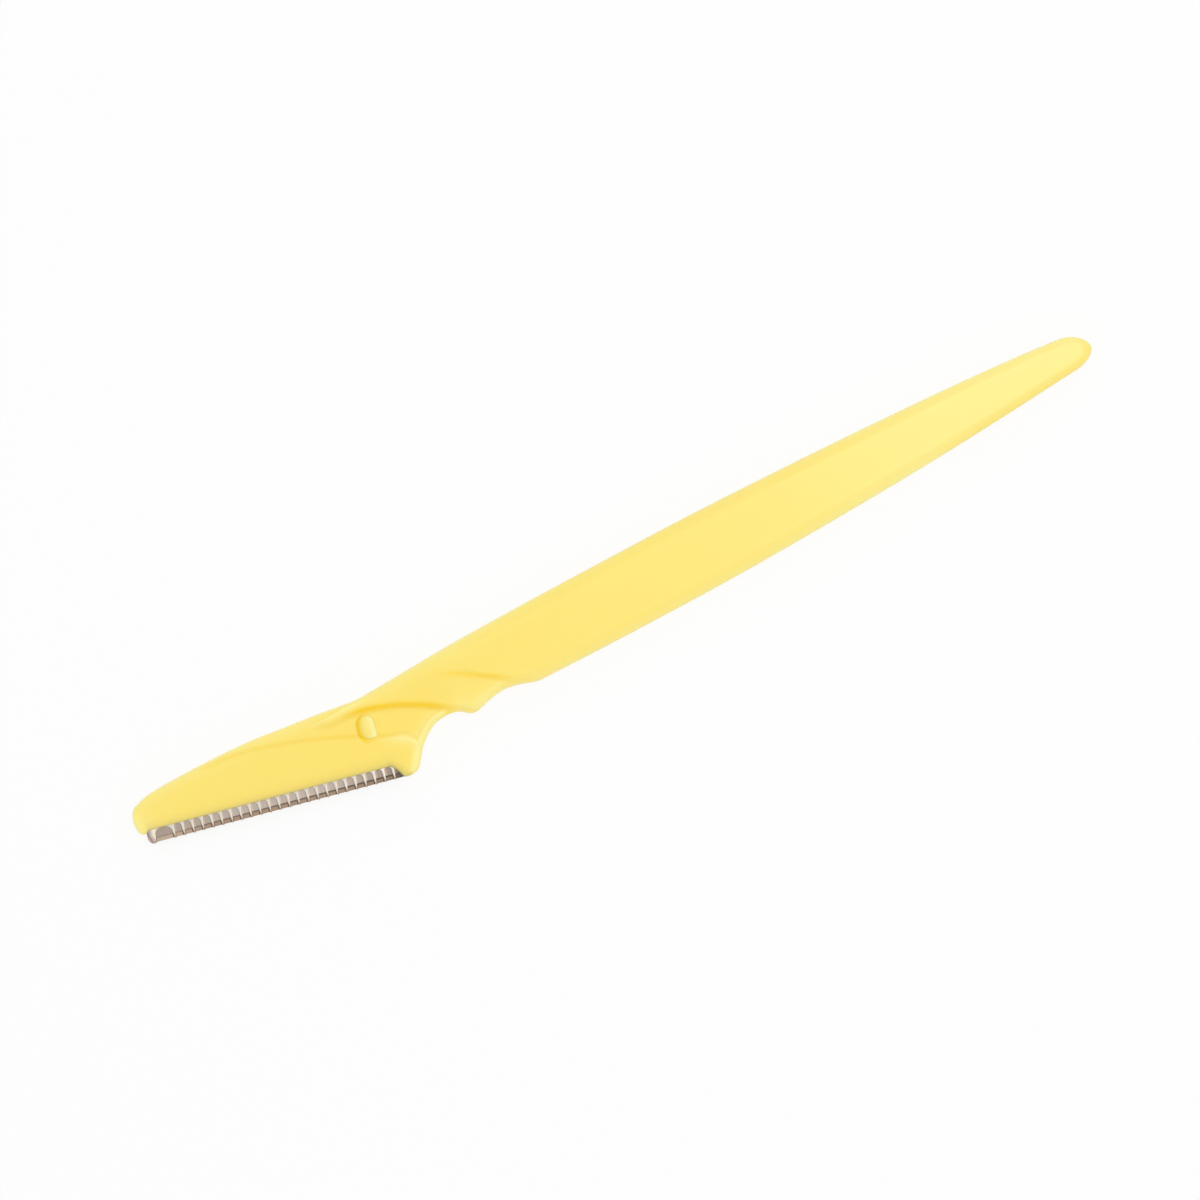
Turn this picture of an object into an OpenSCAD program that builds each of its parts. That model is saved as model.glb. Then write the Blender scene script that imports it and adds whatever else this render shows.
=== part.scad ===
// Eyebrow razor: one moulded handle, a fixed blade and the slotted guard folded over its edge.
// The razor lies flat on its side. X runs from the nose to the tail, +Y towards the spine,
// +Z up, and the origin is under the middle of the whole razor, on the surface that it lies on.

/* [Grip] */
// Length of the grip, from the rear finger rest to the tail
grip_l = 90.5; // [60:0.5:120]
// Greatest width of the grip
grip_w = 10.8; // [8:0.1:16]
// Greatest thickness of the grip
grip_t = 3.8; // [3:0.1:6]
// Thickness of the grip at its tail
tail_t = 2.5; // [1.5:0.1:4]
// Length of the flat land that the razor rests on, on each side of the grip
land_l = 44; // [25:1:55]
// Width of the flat land at its rear end; its front end is a point
land_w = 5.6; // [3:0.1:8]
// Height of the flat land above the side around it
land_h = 0.08; // [0.02:0.01:0.2]

/* [Neck] */
// Length of the rear finger rest
rear_rest_l = 10; // [7:0.1:14]
// Depth of the rear finger rest, below the side of the grip
rear_rest_d = 1.43; // [0.5:0.05:2.5]
// Length of the front finger rest
front_rest_l = 9; // [6:0.1:13]
// Depth of the front finger rest, below the side of the grip
front_rest_d = 2.06; // [0.5:0.05:3]
// Height of the step down from the flat land to the neck, on each face
neck_step = 0.34; // [0.1:0.02:0.5]
// Length of the neck's tongue, from its tip on the head to the front finger rest
tongue_l = 19.7; // [14:0.1:26]

/* [Head] */
// Height of the spine above the middle line of the grip
spine_h = 6.86; // [5:0.1:9]
// Thickness of the band that holds the blade
band_t = 2.8; // [2:0.1:4]
// Greatest height of the band above its lip
band_h = 7.15; // [5:0.05:9]
// Thickness of the recessed plate above the band
plate_t = 1.8; // [1.2:0.1:2.6]
// Thickness of the band at its lip, over the blade
lip_t = 1.24; // [0.8:0.02:2]
// Width of the curved shoulder from the band's face to its lip
lip_w = 1.6; // [0.6:0.1:2.4]
// Width of the round lobe at the heel of the blade
lobe_w = 4.3; // [3:0.1:6]
// Depth of the lobe below the line of the edge
lobe_d = 0.19; // [0.1:0.01:1]
// Length of the snap nub, across the blade
nub_l = 3.4; // [2:0.1:5]
// Width of the snap nub, along the blade
nub_w = 2.3; // [1:0.1:3.5]

/* [Blade and guard] */
// Length of the edge that shows between the nose and the lobe
blade_l = 37.1; // [28:0.1:46]
// Length of the blade's heel inside the lobe
heel_l = 0.7; // [0.4:0.05:1.2]
// Height of the guard that shows below the lip
exposed_h = 2.04; // [1.2:0.02:3]
// Height of the blade's root inside the band
root_h = 2.7; // [1.8:0.1:4]
// Tilt of the edge from the middle line of the grip, in degrees
tilt = 13.35; // [8:0.05:18]
// Thickness of the blade
blade_t = 0.25; // [0.15:0.01:0.4]
// Height of the ground bevel along the edge
bevel_h = 0.75; // [0.4:0.05:1.2]
// Thickness of the guard's sheet
guard_t = 0.12; // [0.06:0.01:0.18]
// Space between the flat of the blade and the guard's sheet
guard_gap = 0.08; // [0.03:0.01:0.12]
// Radius of the guard's round corners
corner_r = 0.9; // [0.5:0.05:1.4]
// Distance from one bar of the guard to the next
bar_pitch = 1.39; // [1:0.01:2.2]
// Width of a bar at the foot of its arches
bar_w = 0.33; // [0.25:0.01:0.7]
// Width of a bar where it goes round the edge
bar_foot_w = 0.2; // [0.1:0.01:0.4]
// Distance from the first bar, at the tip, to the second one
first_pitch = 2.82; // [2:0.01:4]
// Distance from the guard's end to its first bar
first_bar_x = 1.05; // [0.45:0.01:1.4]
// Diameter of the holes that anchor the blade and the guard
anchor_d = 1.4; // [0.8:0.1:2]

/* [Hidden] */

// Clearance between the pieces, and the overrun of every cut
fit_gap = 0.02;
cut_over = 0.5;
// Half the flat left by the mould along the parting line
parting_t = 0.05;
// Land left along the ground edge
edge_land = 0.01;
// Where the guard's corner stands from the nose, along and above the middle line
tip_inset = 0.6;
tip_rise = 0.34;
// The nose: its middle height, its reach above and below, and the chin under it
nose_mid = 3.2;
nose_l = 1.9;
nose_edge_l = 1;
chin_l = 0.75;
chin_y = 1.93;
// The tail: its middle height, the length of its round end and that end's rounding
tail_mid = -0.2;
tail_l = 3.5;
tail_edge_l = 1.6;
// Widths of the moulded steps in the faces
band_step_w = 0.7;
neck_step_w = 0.9;
grip_step_w = 0.9;
// Lengths over which the step from the grip to the neck fades out, and the tongue rises at its tip
fade_l = 8;
tongue_tip_l = 4;
// How fast the flat land widens from its point, and the width of the slope round it
land_taper = 1.15;
land_slope_w = 1.6;
// Steps of the handle's shape along its straighter stretches and round its ends
slow_step = 3.2;
quick_step = 0.55;
end_steps = 6;
edge_steps = 3;

half_w = grip_w / 2;
half_t = grip_t / 2;
// Height of the snap nub above the recessed plate, so that its top is level with the flat land
nub_h = half_t - plate_t / 2;
heel_x = tip_inset + blade_l * cos(tilt);
heel_y = tip_rise - blade_l * sin(tilt);
lobe_x = heel_x + lobe_w;
cusp_x = lobe_x + front_rest_l;
grip_x = cusp_x + rear_rest_l;
total_l = grip_x + grip_l;
kink_x = heel_x - 0.214 * lobe_w;
land_end_x = grip_x + land_l;
tongue_x = cusp_x - tongue_l - 0.22 * front_rest_l;

// A smooth line through [x, y] points, which runs on straight past its ends
function slope(p, q) = (q[1] - p[1]) / (q[0] - p[0]);
function tangent(p, i) =
    i == 0 ? slope(p[0], p[1])
    : i == len(p) - 1 ? slope(p[i - 1], p[i])
    : (slope(p[i - 1], p[i]) + slope(p[i], p[i + 1])) / 2;
function stretch(p, x, i = 0) = i >= len(p) - 2 || x < p[i + 1][0] ? i : stretch(p, x, i + 1);
function hermite(a, b, ma, mb, t) =
    a + ma * t + (3 * (b - a) - 2 * ma - mb) * t * t + (2 * (a - b) + ma + mb) * t * t * t;
function line_at(p, x) =
    let (i = stretch(p, x), a = p[i], b = p[i + 1], run = b[0] - a[0], t = (x - a[0]) / run)
    let (ma = tangent(p, i), mb = tangent(p, i + 1))
    t < 0 ? a[1] + ma * (x - a[0])
    : t > 1 ? b[1] + mb * (x - b[0])
    : hermite(a[1], b[1], ma * run, mb * run, t);

// A soft step from 0 to 1, a quarter round from 0 to 1, and a value kept in a range
function limit(v, low, high) = min(max(v, low), high);
function soft(t) = let (c = limit(t, 0, 1)) c * c * (3 - 2 * c);
function round_in(t) = let (c = 1 - limit(t, 0, 1)) sqrt(1 - c * c);
function mix(a, b, t) = a + (b - a) * t;

// The spine of the head: shares of the way to the kink, and of the spine's height
spine_shares = [
    [0.03, 0.862], [0.043, 0.88], [0.056, 0.905], [0.085, 0.957], [0.12, 0.98], [0.224, 1],
    [0.39, 0.994], [0.56, 0.952], [0.727, 0.853], [0.84, 0.788], [0.92, 0.73], [1, 0.676]
];
// The back of the neck and grip: shares of the way from the kink to the tail, and of half the width
back_shares = [
    [0, 0.858], [0.025, 0.873], [0.07, 0.915], [0.13, 0.972], [0.23, 1], [0.34, 1.007],
    [0.47, 0.995], [0.61, 0.922], [0.72, 0.835], [0.86, 0.683], [0.97, 0.49], [1, 0.4]
];
// The belly of the grip: shares of the grip's length, and of half the width
belly_shares = [
    [0, 0.96], [0.07, 0.98], [0.17, 0.997], [0.34, 0.987], [0.51, 0.907],
    [0.69, 0.77], [0.82, 0.624], [0.95, 0.452], [1, 0.4]
];
spine_line = [for (s = spine_shares) [s[0] * kink_x, s[1] * spine_h]];
back_line = [for (s = back_shares) [mix(kink_x, total_l, s[0]), s[1] * half_w]];
belly_line = [for (s = belly_shares) [grip_x + s[0] * grip_l, -s[1] * half_w]];

// The lobe and the two finger rests, from the end of the lip to the grip
lobe_y = heel_y - lobe_d * 0.75;
front_y = front_rest_d - half_w;
rear_y = rear_rest_d - half_w;
cusp_y = -0.895 * half_w;
lobe_line = [
    [heel_x - 0.26 * lobe_w, lip_y(heel_x - 0.26 * lobe_w)],
    [heel_x - 0.16 * lobe_w, mix(lip_y(heel_x), lobe_y, 0.1)],
    [heel_x - 0.07 * lobe_w, mix(lip_y(heel_x), lobe_y, 0.42)],
    [heel_x + 0.02 * lobe_w, mix(lip_y(heel_x), lobe_y, 0.86)],
    [heel_x + 0.12 * lobe_w, mix(lip_y(heel_x), lobe_y, 0.97)],
    [heel_x + 0.31 * lobe_w, lobe_y],
    [heel_x + 0.58 * lobe_w, mix(lobe_y, front_y, 0.07)],
    [heel_x + 0.79 * lobe_w, mix(lobe_y, front_y, 0.29)],
    [lobe_x, mix(lobe_y, front_y, 0.515)],
    [lobe_x + 0.11 * front_rest_l, mix(lobe_y, front_y, 0.693)],
    [lobe_x + 0.22 * front_rest_l, mix(lobe_y, front_y, 0.835)],
    [lobe_x + 0.33 * front_rest_l, mix(lobe_y, front_y, 0.938)],
    [lobe_x + 0.46 * front_rest_l, mix(lobe_y, front_y, 0.987)],
    [lobe_x + 0.61 * front_rest_l, front_y],
    [lobe_x + 0.78 * front_rest_l, mix(front_y, cusp_y, 0.29)],
    [lobe_x + 0.9 * front_rest_l, mix(front_y, cusp_y, 0.86)],
    [cusp_x, cusp_y],
    [cusp_x + 0.1 * rear_rest_l, mix(cusp_y, rear_y, 0.18)],
    [cusp_x + 0.3 * rear_rest_l, mix(cusp_y, rear_y, 0.78)],
    [cusp_x + 0.5 * rear_rest_l, rear_y],
    [cusp_x + 0.7 * rear_rest_l, mix(rear_y, -half_w, 0.22)],
    [cusp_x + 0.9 * rear_rest_l, mix(rear_y, -half_w, 0.69)],
    [grip_x, belly_line[0][1]]
];

// The outline: the lip is straight, and the nose and the tail are closed by quarter rounds
function lip_y(x) = tip_rise + exposed_h / cos(tilt) - (x - tip_inset) * tan(tilt);
function body_top(x) = x < kink_x ? line_at(spine_line, x) : line_at(back_line, x);
function body_bottom(x) =
    x > grip_x ? line_at(belly_line, x)
    : x > lobe_line[0][0] ? line_at(lobe_line, x)
    : mix(chin_y, lip_y(x), soft((x - 1.6 * chin_l) / (0.4 * chin_l)));
function nose_part(x, reach) = round_in(x / reach);
function tail_part(x) = round_in((total_l - x) / tail_l);
function top_y(x) =
    x < nose_l ? mix(nose_mid, body_top(nose_l), nose_part(x, nose_l))
    : mix(tail_mid, body_top(x), tail_part(x));
function bottom_y(x) =
    x < chin_l ? mix(nose_mid, chin_y, nose_part(x, chin_l))
    : mix(tail_mid, body_bottom(x), tail_part(x));

// Moulded steps: the top of the band, the foot of the neck and the front of the grip
band_line = [
    [0.35 * heel_x, lip_y(0.35 * heel_x) + 0.903 * band_h],
    [0.49 * heel_x, lip_y(0.49 * heel_x) + band_h],
    [0.66 * heel_x, lip_y(0.66 * heel_x) + 0.964 * band_h],
    [0.857 * heel_x, lip_y(0.857 * heel_x) + 0.818 * band_h],
    [heel_x + 0.53 * lobe_w, mix(lobe_y, lip_y(heel_x) + 0.55 * band_h, 0.9)],
    [heel_x + 0.84 * lobe_w, mix(lobe_y, lip_y(heel_x) + 0.55 * band_h, 0.64)],
    [heel_x + 0.89 * lobe_w, mix(lobe_y, lip_y(heel_x) + 0.55 * band_h, 0.42)]
];
neck_shares = [[0, 0.74], [0.14, 0.602], [0.375, 0.531], [0.65, 0.178], [0.83, -0.19], [1, -0.63]];
neck_line = [for (s = neck_shares) [tongue_x + s[0] * tongue_l, s[1] * half_w]];
front_shares = [[0, 0.367], [0.2, 0.167], [0.44, -0.163], [0.67, -0.517], [0.8, -0.748], [1, -0.963]];
front_line = [for (s = front_shares) [mix(grip_x, neck_line[5][0], 1 - s[0]), s[1] * half_w]];

// Distance past a line, measured square to it
function steepness(line, x) =
    let (h = quick_step / 2, rise = line_at(line, x + h) - line_at(line, x - h))
    sqrt(1 + pow(rise / quick_step, 2));
function past(line, x, y) = (y - line_at(line, x)) / steepness(line, x);

// Half the thickness of the handle at a place, before its edges are rounded
function recess(x, y) =
    (band_t - plate_t) / 2 * soft((x / heel_x - 0.3) / 0.3) * soft(past(band_line, x, y) / band_step_w + 0.5);
function neck_share(x, y) =
    soft((x - tongue_x) / tongue_tip_l) * soft(past(neck_line, x, y) / neck_step_w + 0.5);
function grip_share(x, y) =
    let (w = grip_step_w + fade_l * soft((front_line[2][0] - x) / (front_line[2][0] - front_line[0][0])))
    x > grip_x ? 1 : soft(past(front_line, x, y) / w + 0.5);
function grip_half_t(x) = mix(half_t, tail_t / 2, soft((x - land_end_x) / (total_l - land_end_x)));
function land_side(x) = land_w / 2 * pow(limit((x - grip_x) / land_l, 0, 1), land_taper);
function land_drop(x, y) =
    let (beyond = max(abs(y) - land_side(x), grip_x - x, x - land_end_x, 0)) land_h * min(beyond / land_slope_w, 1);
function level(x, y) =
    let (plate = band_t / 2 - recess(x, y), neck = mix(plate, half_t - neck_step, neck_share(x, y)))
    mix(neck, grip_half_t(x) - land_drop(x, y), grip_share(x, y));

// Rounding of the edges, as shares of the half thickness along the handle
top_round_shares = [[0, 0.65], [0.19, 1], [0.22, 0.6], [0.24, 0.5], [0.29, 0.8], [0.36, 0.98], [0.4, 1], [0.44, 1], [1, 1]];
function top_round(x) =
    line_at([for (s = top_round_shares) [s[0] * total_l, s[1]]], x) * level(x, body_top(x) - half_t);
function lip_share(x) =
    soft((x - 1.7 * chin_l) / (0.3 * chin_l)) * soft((heel_x - 0.2 * lobe_w - x) / (0.15 * lobe_w));
function bottom_round(x) =
    x > grip_x ? grip_half_t(x)
    : mix(mix(band_t, grip_t, soft((x - lobe_x) / (grip_x - lobe_x))) * 0.42, lip_w, lip_share(x));
function bottom_edge(x) = mix(parting_t, lip_t / 2, lip_share(x));

// Height of the face above the parting plane
function end_round(x) = round_in(x / nose_edge_l) * round_in((total_l - x) / tail_edge_l);
function face_z(x, y) =
    let (from_top = (top_y(x) - y) / top_round(x), from_bottom = (y - bottom_y(x)) / bottom_round(x))
    let (edge = bottom_edge(x), upper = mix(parting_t, level(x, y), round_in(from_top) * end_round(x)))
    min(edge, upper) + max(upper - edge, 0) * round_in(from_bottom);

// Rows of points across one face: both rounded edges, and both sides of each moulded step
function row_turn(i) = 1 - cos(90 * i / edge_steps);
function across(x) =
    let (low = bottom_y(x), high = top_y(x), room = high - low)
    let (first = low + min(bottom_round(x), 0.4 * room), last = high - min(top_round(x), 0.4 * room))
    let (b = line_at(band_line, x), bw = band_step_w / 2 * steepness(band_line, x))
    let (n = line_at(neck_line, x), nw = neck_step_w / 2 * steepness(neck_line, x))
    let (g = line_at(front_line, x), gw = grip_step_w / 2 * steepness(front_line, x))
    let (b_low = limit(b - bw, first, last), b_high = limit(b + bw, b_low, last))
    let (n_low = limit(n - nw, b_high, last), n_high = limit(n + nw, n_low, last))
    let (g_low = limit(g - gw, n_high, last), g_high = limit(g + gw, g_low, last))
    let (l_low = limit(-land_side(x), g_high, last), l_high = limit(land_side(x), l_low, last))
    concat(
        [for (i = [0:edge_steps]) low + (first - low) * row_turn(i)],
        [b_low, b_high, n_low, n_high, g_low, g_high, l_low, l_high],
        [for (i = [edge_steps:-1:0]) high - (high - last) * row_turn(i)]
    );

// Places of the rings along the handle
function spread(a, b, step) = let (n = ceil((b - a) / step)) [for (i = [0:n - 1]) mix(a, b, i / n)];
nose_places = [for (i = [0:end_steps - 1]) nose_edge_l * (1 - cos(90 * i / end_steps))];
tail_places = [for (i = [0:end_steps]) total_l - tail_l * (1 - sin(90 * i / end_steps))];
places = concat(
    nose_places,
    spread(nose_edge_l, 1.4 * nose_l, quick_step / 2),
    spread(1.4 * nose_l, kink_x, slow_step / 3),
    spread(kink_x, lobe_x + quick_step, quick_step),
    spread(lobe_x + quick_step, grip_x, 1.6 * quick_step),
    spread(grip_x, land_end_x, slow_step),
    spread(land_end_x, total_l - tail_l, slow_step),
    tail_places
);

// The origin: the middle of the razor's length and width, on the surface it lies on
mid_x = total_l / 2;
mid_y = (max([for (x = places) top_y(x)]) + min([for (x = places) bottom_y(x)])) / 2;
module laid() translate([-mid_x, -mid_y, half_t]) children();
module on_blade() translate([tip_inset, tip_rise, 0]) rotate([0, 0, -tilt]) children();

// The moulding as one closed skin: rings run up the front face and back down the rear one
module moulding() {
    faces = [for (x = places) across(x)];
    n = len(faces[0]);
    ring_n = 2 * n;
    points = [
        for (i = [0:len(places) - 1], k = [0:ring_n - 1])
        let (y = k < n ? faces[i][k] : faces[i][ring_n - 1 - k], z = face_z(places[i], y))
        [places[i], y, k < n ? z : -z]
    ];
    skin = [
        for (i = [0:len(places) - 2], k = [0:ring_n - 1])
        let (a = i * ring_n + k, b = i * ring_n + (k + 1) % ring_n)
        each [[a, b, b + ring_n], [a, b + ring_n, a + ring_n]]
    ];
    last = (len(places) - 1) * ring_n;
    ends = [[for (k = [ring_n - 1:-1:0]) k], [for (k = [0:ring_n - 1]) last + k]];
    polyhedron(points = points, faces = concat(skin, ends));
}

// A closed skin for the snap nub: a rounded slot shape that narrows over its top edge
nub_sides = 24;
nub_tiers = 4;
nub_square = 0.7;
function slot_point(l, w, a) =
    [w / 2 * sign(cos(a)) * pow(abs(cos(a)), nub_square), l / 2 * sign(sin(a)) * pow(abs(sin(a)), nub_square)];
module nub() {
    round_r = 0.6 * nub_h;
    sunk = plate_t / 4;
    tiers = concat(
        [[0, -sunk]],
        [for (j = [0:nub_tiers]) let (a = 90 * j / nub_tiers) [round_r * (1 - cos(a)), nub_h - round_r * (1 - sin(a))]]
    );
    points = [
        for (t = tiers, s = [0:nub_sides - 1])
        let (p = slot_point(nub_l - 2 * t[0], nub_w - 2 * t[0], 360 * s / nub_sides)) [p[0], p[1], t[1]]
    ];
    top = (len(tiers) - 1) * nub_sides;
    walls = [
        for (j = [0:len(tiers) - 2], s = [0:nub_sides - 1])
        let (a = j * nub_sides + s, b = j * nub_sides + (s + 1) % nub_sides)
        each [[a, a + nub_sides, b], [b, a + nub_sides, b + nub_sides]]
    ];
    ends = [[for (s = [0:nub_sides - 1]) s], [for (s = [nub_sides - 1:-1:0]) top + s]];
    polyhedron(points = points, faces = concat(walls, ends));
}
nub_u = 0.916 * blade_l;
nub_v = exposed_h + 0.85 * band_h;
module nub_pair() {
    on_blade() translate([nub_u, nub_v, 0]) {
        translate([0, 0, plate_t / 2]) nub();
        mirror([0, 0, 1]) translate([0, 0, plate_t / 2]) nub();
    }
}

// The guard's outline, edge down and with both lower corners round, drawn in by a distance
guard_l = blade_l + heel_l;
guard_h = exposed_h + root_h;
guard_in = blade_t / 2 + guard_gap;
guard_out = guard_in + guard_t;
module outline(inset_end, inset_edge, inset_top, r) {
    left = inset_end;
    right = guard_l - inset_end;
    high = guard_h - inset_top;
    translate([left, inset_edge + r]) square([right - left, high - inset_edge - r]);
    translate([left + r, inset_edge]) square([right - left - 2 * r, high - inset_edge]);
    for (x = [left + r, right - r]) translate([x, inset_edge + r]) circle(r, $fn = 48);
}

// Posts of the moulding that pass through the anchor holes
anchor_shares = [0.14, 0.5, 0.86];
module anchors(d) {
    for (s = anchor_shares) translate([s * guard_l, exposed_h + root_h / 2, 0])
        cylinder(h = 2 * band_t, d = d, center = true, $fn = 48);
}

module slot() {
    difference() {
        linear_extrude(height = 2 * (guard_out + fit_gap), center = true)
            outline(-fit_gap, -fit_gap, -fit_gap, corner_r + fit_gap);
        anchors(anchor_d - 2 * fit_gap);
    }
}

module handle() {
    color([1, 0.89, 0.47]) laid() difference() {
        union() {
            moulding();
            nub_pair();
        }
        on_blade() slot();
    }
}

// The blade: a flat strip, ground on both faces along its lower edge
blade_edge = guard_t + 1.5 * fit_gap;
blade_end = guard_out - sqrt(pow(guard_in, 2) - pow(blade_t / 2 + fit_gap, 2));
module grind() {
    low = blade_edge - cut_over;
    rise = blade_edge + bevel_h;
    wedge = [
        [low, edge_land / 2], [blade_edge, edge_land / 2], [rise, blade_t / 2],
        [rise, blade_t], [low, blade_t]
    ];
    rotate([90, 0, 90]) linear_extrude(height = guard_l) polygon(wedge);
}
module blade() {
    color([0.72, 0.7, 0.68]) laid() on_blade() difference() {
        linear_extrude(height = blade_t, center = true)
            outline(blade_end, blade_edge, 0, corner_r - blade_edge / 2);
        grind();
        mirror([0, 0, 1]) grind();
        anchors(anchor_d);
    }
}

// The guard: a thin sheet folded round the edge and both ends of the blade, with a row of windows
module fold_profile() {
    intersection() {
        difference() {
            circle(guard_out, $fn = 48);
            circle(guard_in, $fn = 48);
        }
        translate([-guard_out, -guard_out]) square([guard_out, 2 * guard_out]);
    }
}
module fold() {
    reach = corner_r - guard_out;
    for (end = [0, 1]) translate([end * guard_l, 0, 0]) mirror([end, 0, 0]) {
        translate([guard_out, corner_r, 0]) rotate([-90, 0, 0])
            linear_extrude(height = guard_h - corner_r) fold_profile();
        translate([corner_r, corner_r, 0]) rotate([0, 0, 180])
            rotate_extrude(angle = 90, $fn = 96) translate([reach, 0]) mirror([1, 0]) fold_profile();
    }
    translate([corner_r, guard_out, 0]) rotate([90, 0, 90])
        linear_extrude(height = guard_l - 2 * corner_r) fold_profile();
}
module sheets() {
    for (side = [-1, 1]) translate([0, 0, side * (guard_in + guard_t / 2)])
        linear_extrude(height = guard_t, center = true)
            outline(guard_out, guard_out, 0, corner_r - guard_out);
}
// Steps of an arch, and how far the arches reach up under the lip
arch_steps = 8;
window_over = 0.05;
module window(pitch) {
    foot = (pitch - bar_foot_w) / 2;
    shoulder = (pitch - bar_w) / 2;
    high = exposed_h + window_over;
    arch_h = min(shoulder, 0.45 * high);
    arch = [
        for (i = [0:arch_steps]) let (a = 180 * i / arch_steps)
        [shoulder * cos(a), high - arch_h + arch_h * sin(a)]
    ];
    linear_extrude(height = 2 * band_t, center = true)
        polygon(concat([[-foot, guard_out], [-foot, -cut_over], [foot, -cut_over], [foot, guard_out]], arch));
}
window_n = floor((guard_l - guard_out - first_bar_x - first_pitch) / bar_pitch);
module windows() {
    translate([first_bar_x + first_pitch / 2, 0, 0]) window(first_pitch);
    for (i = [0:window_n - 1])
        translate([first_bar_x + first_pitch + (i + 0.5) * bar_pitch, 0, 0]) window(bar_pitch);
}
module blade_guard() {
    color([0.9, 0.88, 0.85]) laid() on_blade() difference() {
        union() {
            sheets();
            fold();
        }
        windows();
        anchors(anchor_d);
    }
}

handle();
blade();
blade_guard();
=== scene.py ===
import bmesh
import bpy
import math
import numpy as np
from mathutils import Matrix, Vector


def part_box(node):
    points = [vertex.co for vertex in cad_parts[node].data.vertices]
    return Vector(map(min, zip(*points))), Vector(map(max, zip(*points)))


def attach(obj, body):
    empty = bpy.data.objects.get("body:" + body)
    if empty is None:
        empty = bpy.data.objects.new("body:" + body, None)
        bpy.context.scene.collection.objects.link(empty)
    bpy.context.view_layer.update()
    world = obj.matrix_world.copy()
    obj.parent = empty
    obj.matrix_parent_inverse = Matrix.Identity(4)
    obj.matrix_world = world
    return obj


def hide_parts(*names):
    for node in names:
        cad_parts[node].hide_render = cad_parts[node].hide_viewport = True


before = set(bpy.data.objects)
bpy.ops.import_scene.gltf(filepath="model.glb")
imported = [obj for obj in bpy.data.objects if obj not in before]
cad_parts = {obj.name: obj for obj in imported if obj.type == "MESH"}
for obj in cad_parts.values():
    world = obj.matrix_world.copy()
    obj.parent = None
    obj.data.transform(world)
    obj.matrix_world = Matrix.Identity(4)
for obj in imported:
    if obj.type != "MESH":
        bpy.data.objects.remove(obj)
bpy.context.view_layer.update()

# The handle. One moulding in yellow ABS: grip, two finger rests, neck with its tongue, head plate,
# blade band and snap nubs. It comes out of a two-part mould, so both faces are alike and a fine
# parting line runs round it at half its thickness. The blade and its guard are moulded into it.
#
# Sizes are in millimetres, drawn with X from the nose to the tail and Y from the grip's middle line
# towards the spine. Down its length:
MM = 0.001
blade_tip, blade_l, exposed_h = (0.6, 0.34), 37.1, 2.04
tilt = math.radians(13.35)
heel_x = blade_tip[0] + blade_l * math.cos(tilt)
lobe_w, front_rest_w, rear_rest_w, grip_l, land_l = 4.3, 9, 10, 90.5, 44
lobe_x = heel_x + lobe_w
cusp_x = lobe_x + front_rest_w
grip_x = cusp_x + rear_rest_w
land_end_x = grip_x + land_l
total_l = grip_x + grip_l
kink_x = heel_x - 0.214 * lobe_w
tongue_l = 19.7
tongue_x = cusp_x - tongue_l - 0.22 * front_rest_w
# Across it:
half_w, spine_h, band_h = 5.4, 6.86, 7.15
front_y, rear_y, cusp_y = 2.06 - half_w, 1.43 - half_w, -0.895 * half_w
nose_y, nose_low_y, tail_y = 3.2, 1.93, -0.2
nose_top_l, nose_low_l, tail_round = 1.9, 0.75, 3.5
# Through it, mostly as half a thickness from the parting line to one face:
half_t, tail_half_t, band_t, plate_t = 1.9, 1.25, 2.8, 1.8
neck_step, crown, face_play = 0.34, 0.12, 0.04
edge_half_t, lip_half_t, slot_half_t, slot_d, parting_d = 0.05, 0.62, 0.345, 1.2, 0.03

handle_low, handle_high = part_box("handle")
middle = Vector((total_l / 2, -0.753563, -half_t))


def to_row(x, y, z):
    """A drawn place in the frame of the solids, in metres."""
    return Vector((x - middle.x, y - middle.y, z - middle.z)) * MM


def soft(t):
    """0 to 1 with a gentle start and end."""
    t = np.clip(t, 0, 1)
    return t * t * (3 - 2 * t)


def round_in(t):
    """0 to 1 along a quarter of a circle, steep at the start."""
    return np.sqrt(1 - (1 - np.clip(t, 0, 1)) ** 2)


def mix(a, b, t):
    return a + (b - a) * t


def hump(distance, width):
    """1 at no distance, fading away on both sides."""
    return np.exp(-(distance / width) ** 2)


def stretch(x, start, full, fade, end):
    """1 from full to fade, and 0 before start and after end."""
    return soft((x - start) / (full - start)) * soft((end - x) / (end - fade))


def smooth_line(points, x):
    """A smooth line through the points, straight past both ends."""
    px, py = np.array(points, float).T
    x = np.asarray(x, float)
    slopes = np.diff(py) / np.diff(px)
    tangents = np.concatenate([slopes[:1], (slopes[:-1] + slopes[1:]) / 2, slopes[-1:]])
    i = np.clip(np.searchsorted(px, x, side="right") - 1, 0, len(px) - 2)
    run = px[i + 1] - px[i]
    t = np.clip((x - px[i]) / run, 0, 1)
    a, b, ma, mb = py[i], py[i + 1], tangents[i] * run, tangents[i + 1] * run
    line = a + ma * t + (3 * (b - a) - 2 * ma - mb) * t**2 + (2 * (a - b) + ma + mb) * t**3
    return line + tangents[0] * np.minimum(x - px[0], 0) + tangents[-1] * np.maximum(x - px[-1], 0)


def past(line, x, y):
    """Distance past a line, square to it."""
    rise = smooth_line(line, x + 0.2) - smooth_line(line, x - 0.2)
    return (y - smooth_line(line, x)) / np.sqrt(1 + (rise / 0.4) ** 2)


def lip_y(x):
    """The lip of the blade band, along the line that the blade comes out at."""
    return blade_tip[1] + exposed_h / math.cos(tilt) - (x - blade_tip[0]) * math.tan(tilt)


def turned_points(start_x, run, from_y, to_y, places):
    """Points where an edge turns from one height to another, as shares of its run and its rise."""
    return [(start_x + a * run, mix(from_y, to_y, b)) for a, b in places]


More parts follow.
